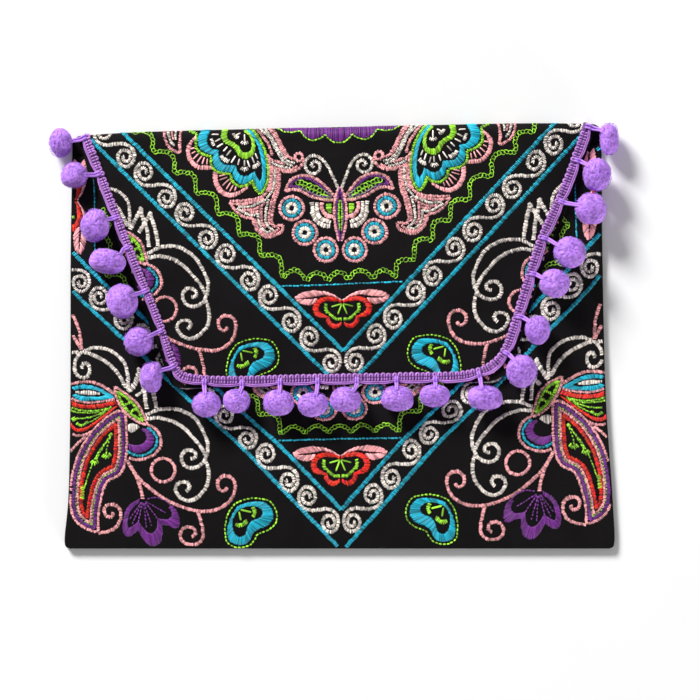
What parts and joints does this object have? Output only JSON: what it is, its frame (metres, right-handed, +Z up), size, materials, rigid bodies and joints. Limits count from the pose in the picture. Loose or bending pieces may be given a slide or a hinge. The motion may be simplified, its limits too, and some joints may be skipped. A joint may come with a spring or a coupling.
{
  "type": "embroidered clutch bag",
  "caption": "Flat envelope clutch of black embroidered cloth: a hollow pouch under a trapezoid flap edged with pompom braid.",
  "frame": {"origin": "on the flat underside of the back, near the middle of the bag", "axes": "+X to the right along the bag's width, +Y towards the top fold, +Z up through the flap"},
  "size_m": [0.3507, 0.2642, 0.0287],
  "materials": {
    "black_cloth": "fine black twill, slight sheen",
    "braid_yarn": "lilac braid with darker grooves",
    "pompom_wool": "fuzzy lilac yarn",
    "thread_turquoise": "glossy embroidery thread",
    "thread_cream": "glossy embroidery thread",
    "thread_pink": "glossy embroidery thread",
    "thread_red": "glossy embroidery thread",
    "thread_lime": "glossy embroidery thread",
    "thread_purple": "glossy embroidery thread"
  },
  "bodies": {
    "root": {"front_panel": "black_cloth", "back_and_flap": "black_cloth", "pompom_braid": "braid_yarn", "pompom_01": "pompom_wool", "pompom_02": "pompom_wool", "pompom_03": "pompom_wool", "pompom_04": "pompom_wool", "pompom_05": "pompom_wool", "pompom_06": "pompom_wool", "pompom_07": "pompom_wool", "pompom_08": "pompom_wool", "pompom_09": "pompom_wool", "pompom_10": "pompom_wool", "pompom_11": "pompom_wool", "pompom_12": "pompom_wool", "pompom_13": "pompom_wool", "pompom_14": "pompom_wool", "pompom_15": "pompom_wool", "pompom_16": "pompom_wool", "pompom_17": "pompom_wool", "pompom_18": "pompom_wool", "pompom_19": "pompom_wool", "pompom_20": "pompom_wool", "pompom_21": "pompom_wool", "pompom_22": "pompom_wool"}
  },
  "joints": []
}
